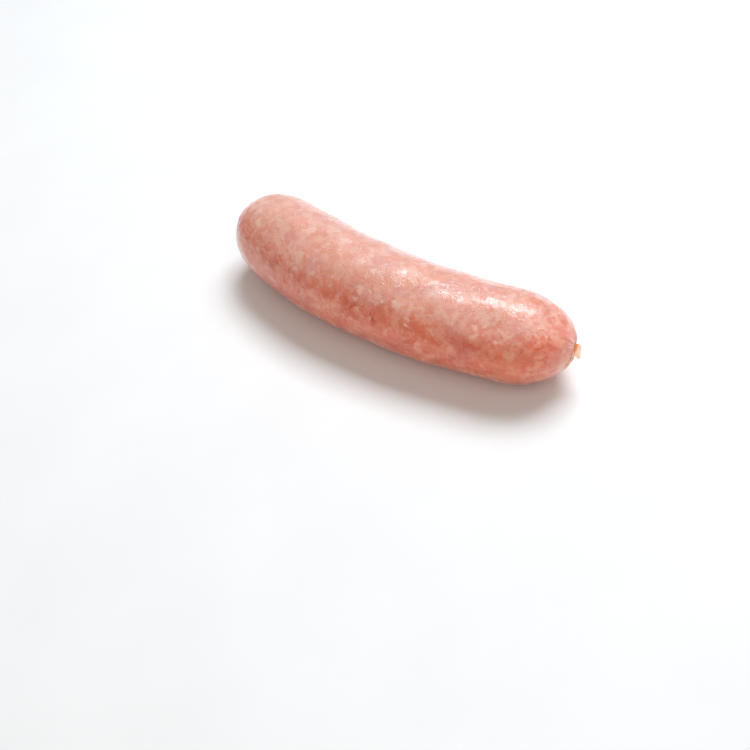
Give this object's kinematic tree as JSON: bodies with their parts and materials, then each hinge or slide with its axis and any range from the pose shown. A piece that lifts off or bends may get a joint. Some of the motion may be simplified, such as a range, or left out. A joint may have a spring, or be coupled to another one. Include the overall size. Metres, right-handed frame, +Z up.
{
  "type": "sausage link",
  "caption": "Fresh coarse pork sausage link in a natural casing, gently bent, blunt at its left end and rounder at its right, with a small tab of crimped casing at each tip.",
  "frame": {"origin": "on the surface that the link lies on, below the middle of its box", "axes": "+X from the blunt end to the round end along the chord, +Y to the side that both ends bend toward, +Z up"},
  "size_m": [0.145, 0.041, 0.0353],
  "materials": {
    "raw_pork_in_casing": "moist, semi-gloss translucent casing over mottled pink meat with pale fat"
  },
  "bodies": {
    "root": {"sausage_link": "raw_pork_in_casing"}
  },
  "joints": []
}
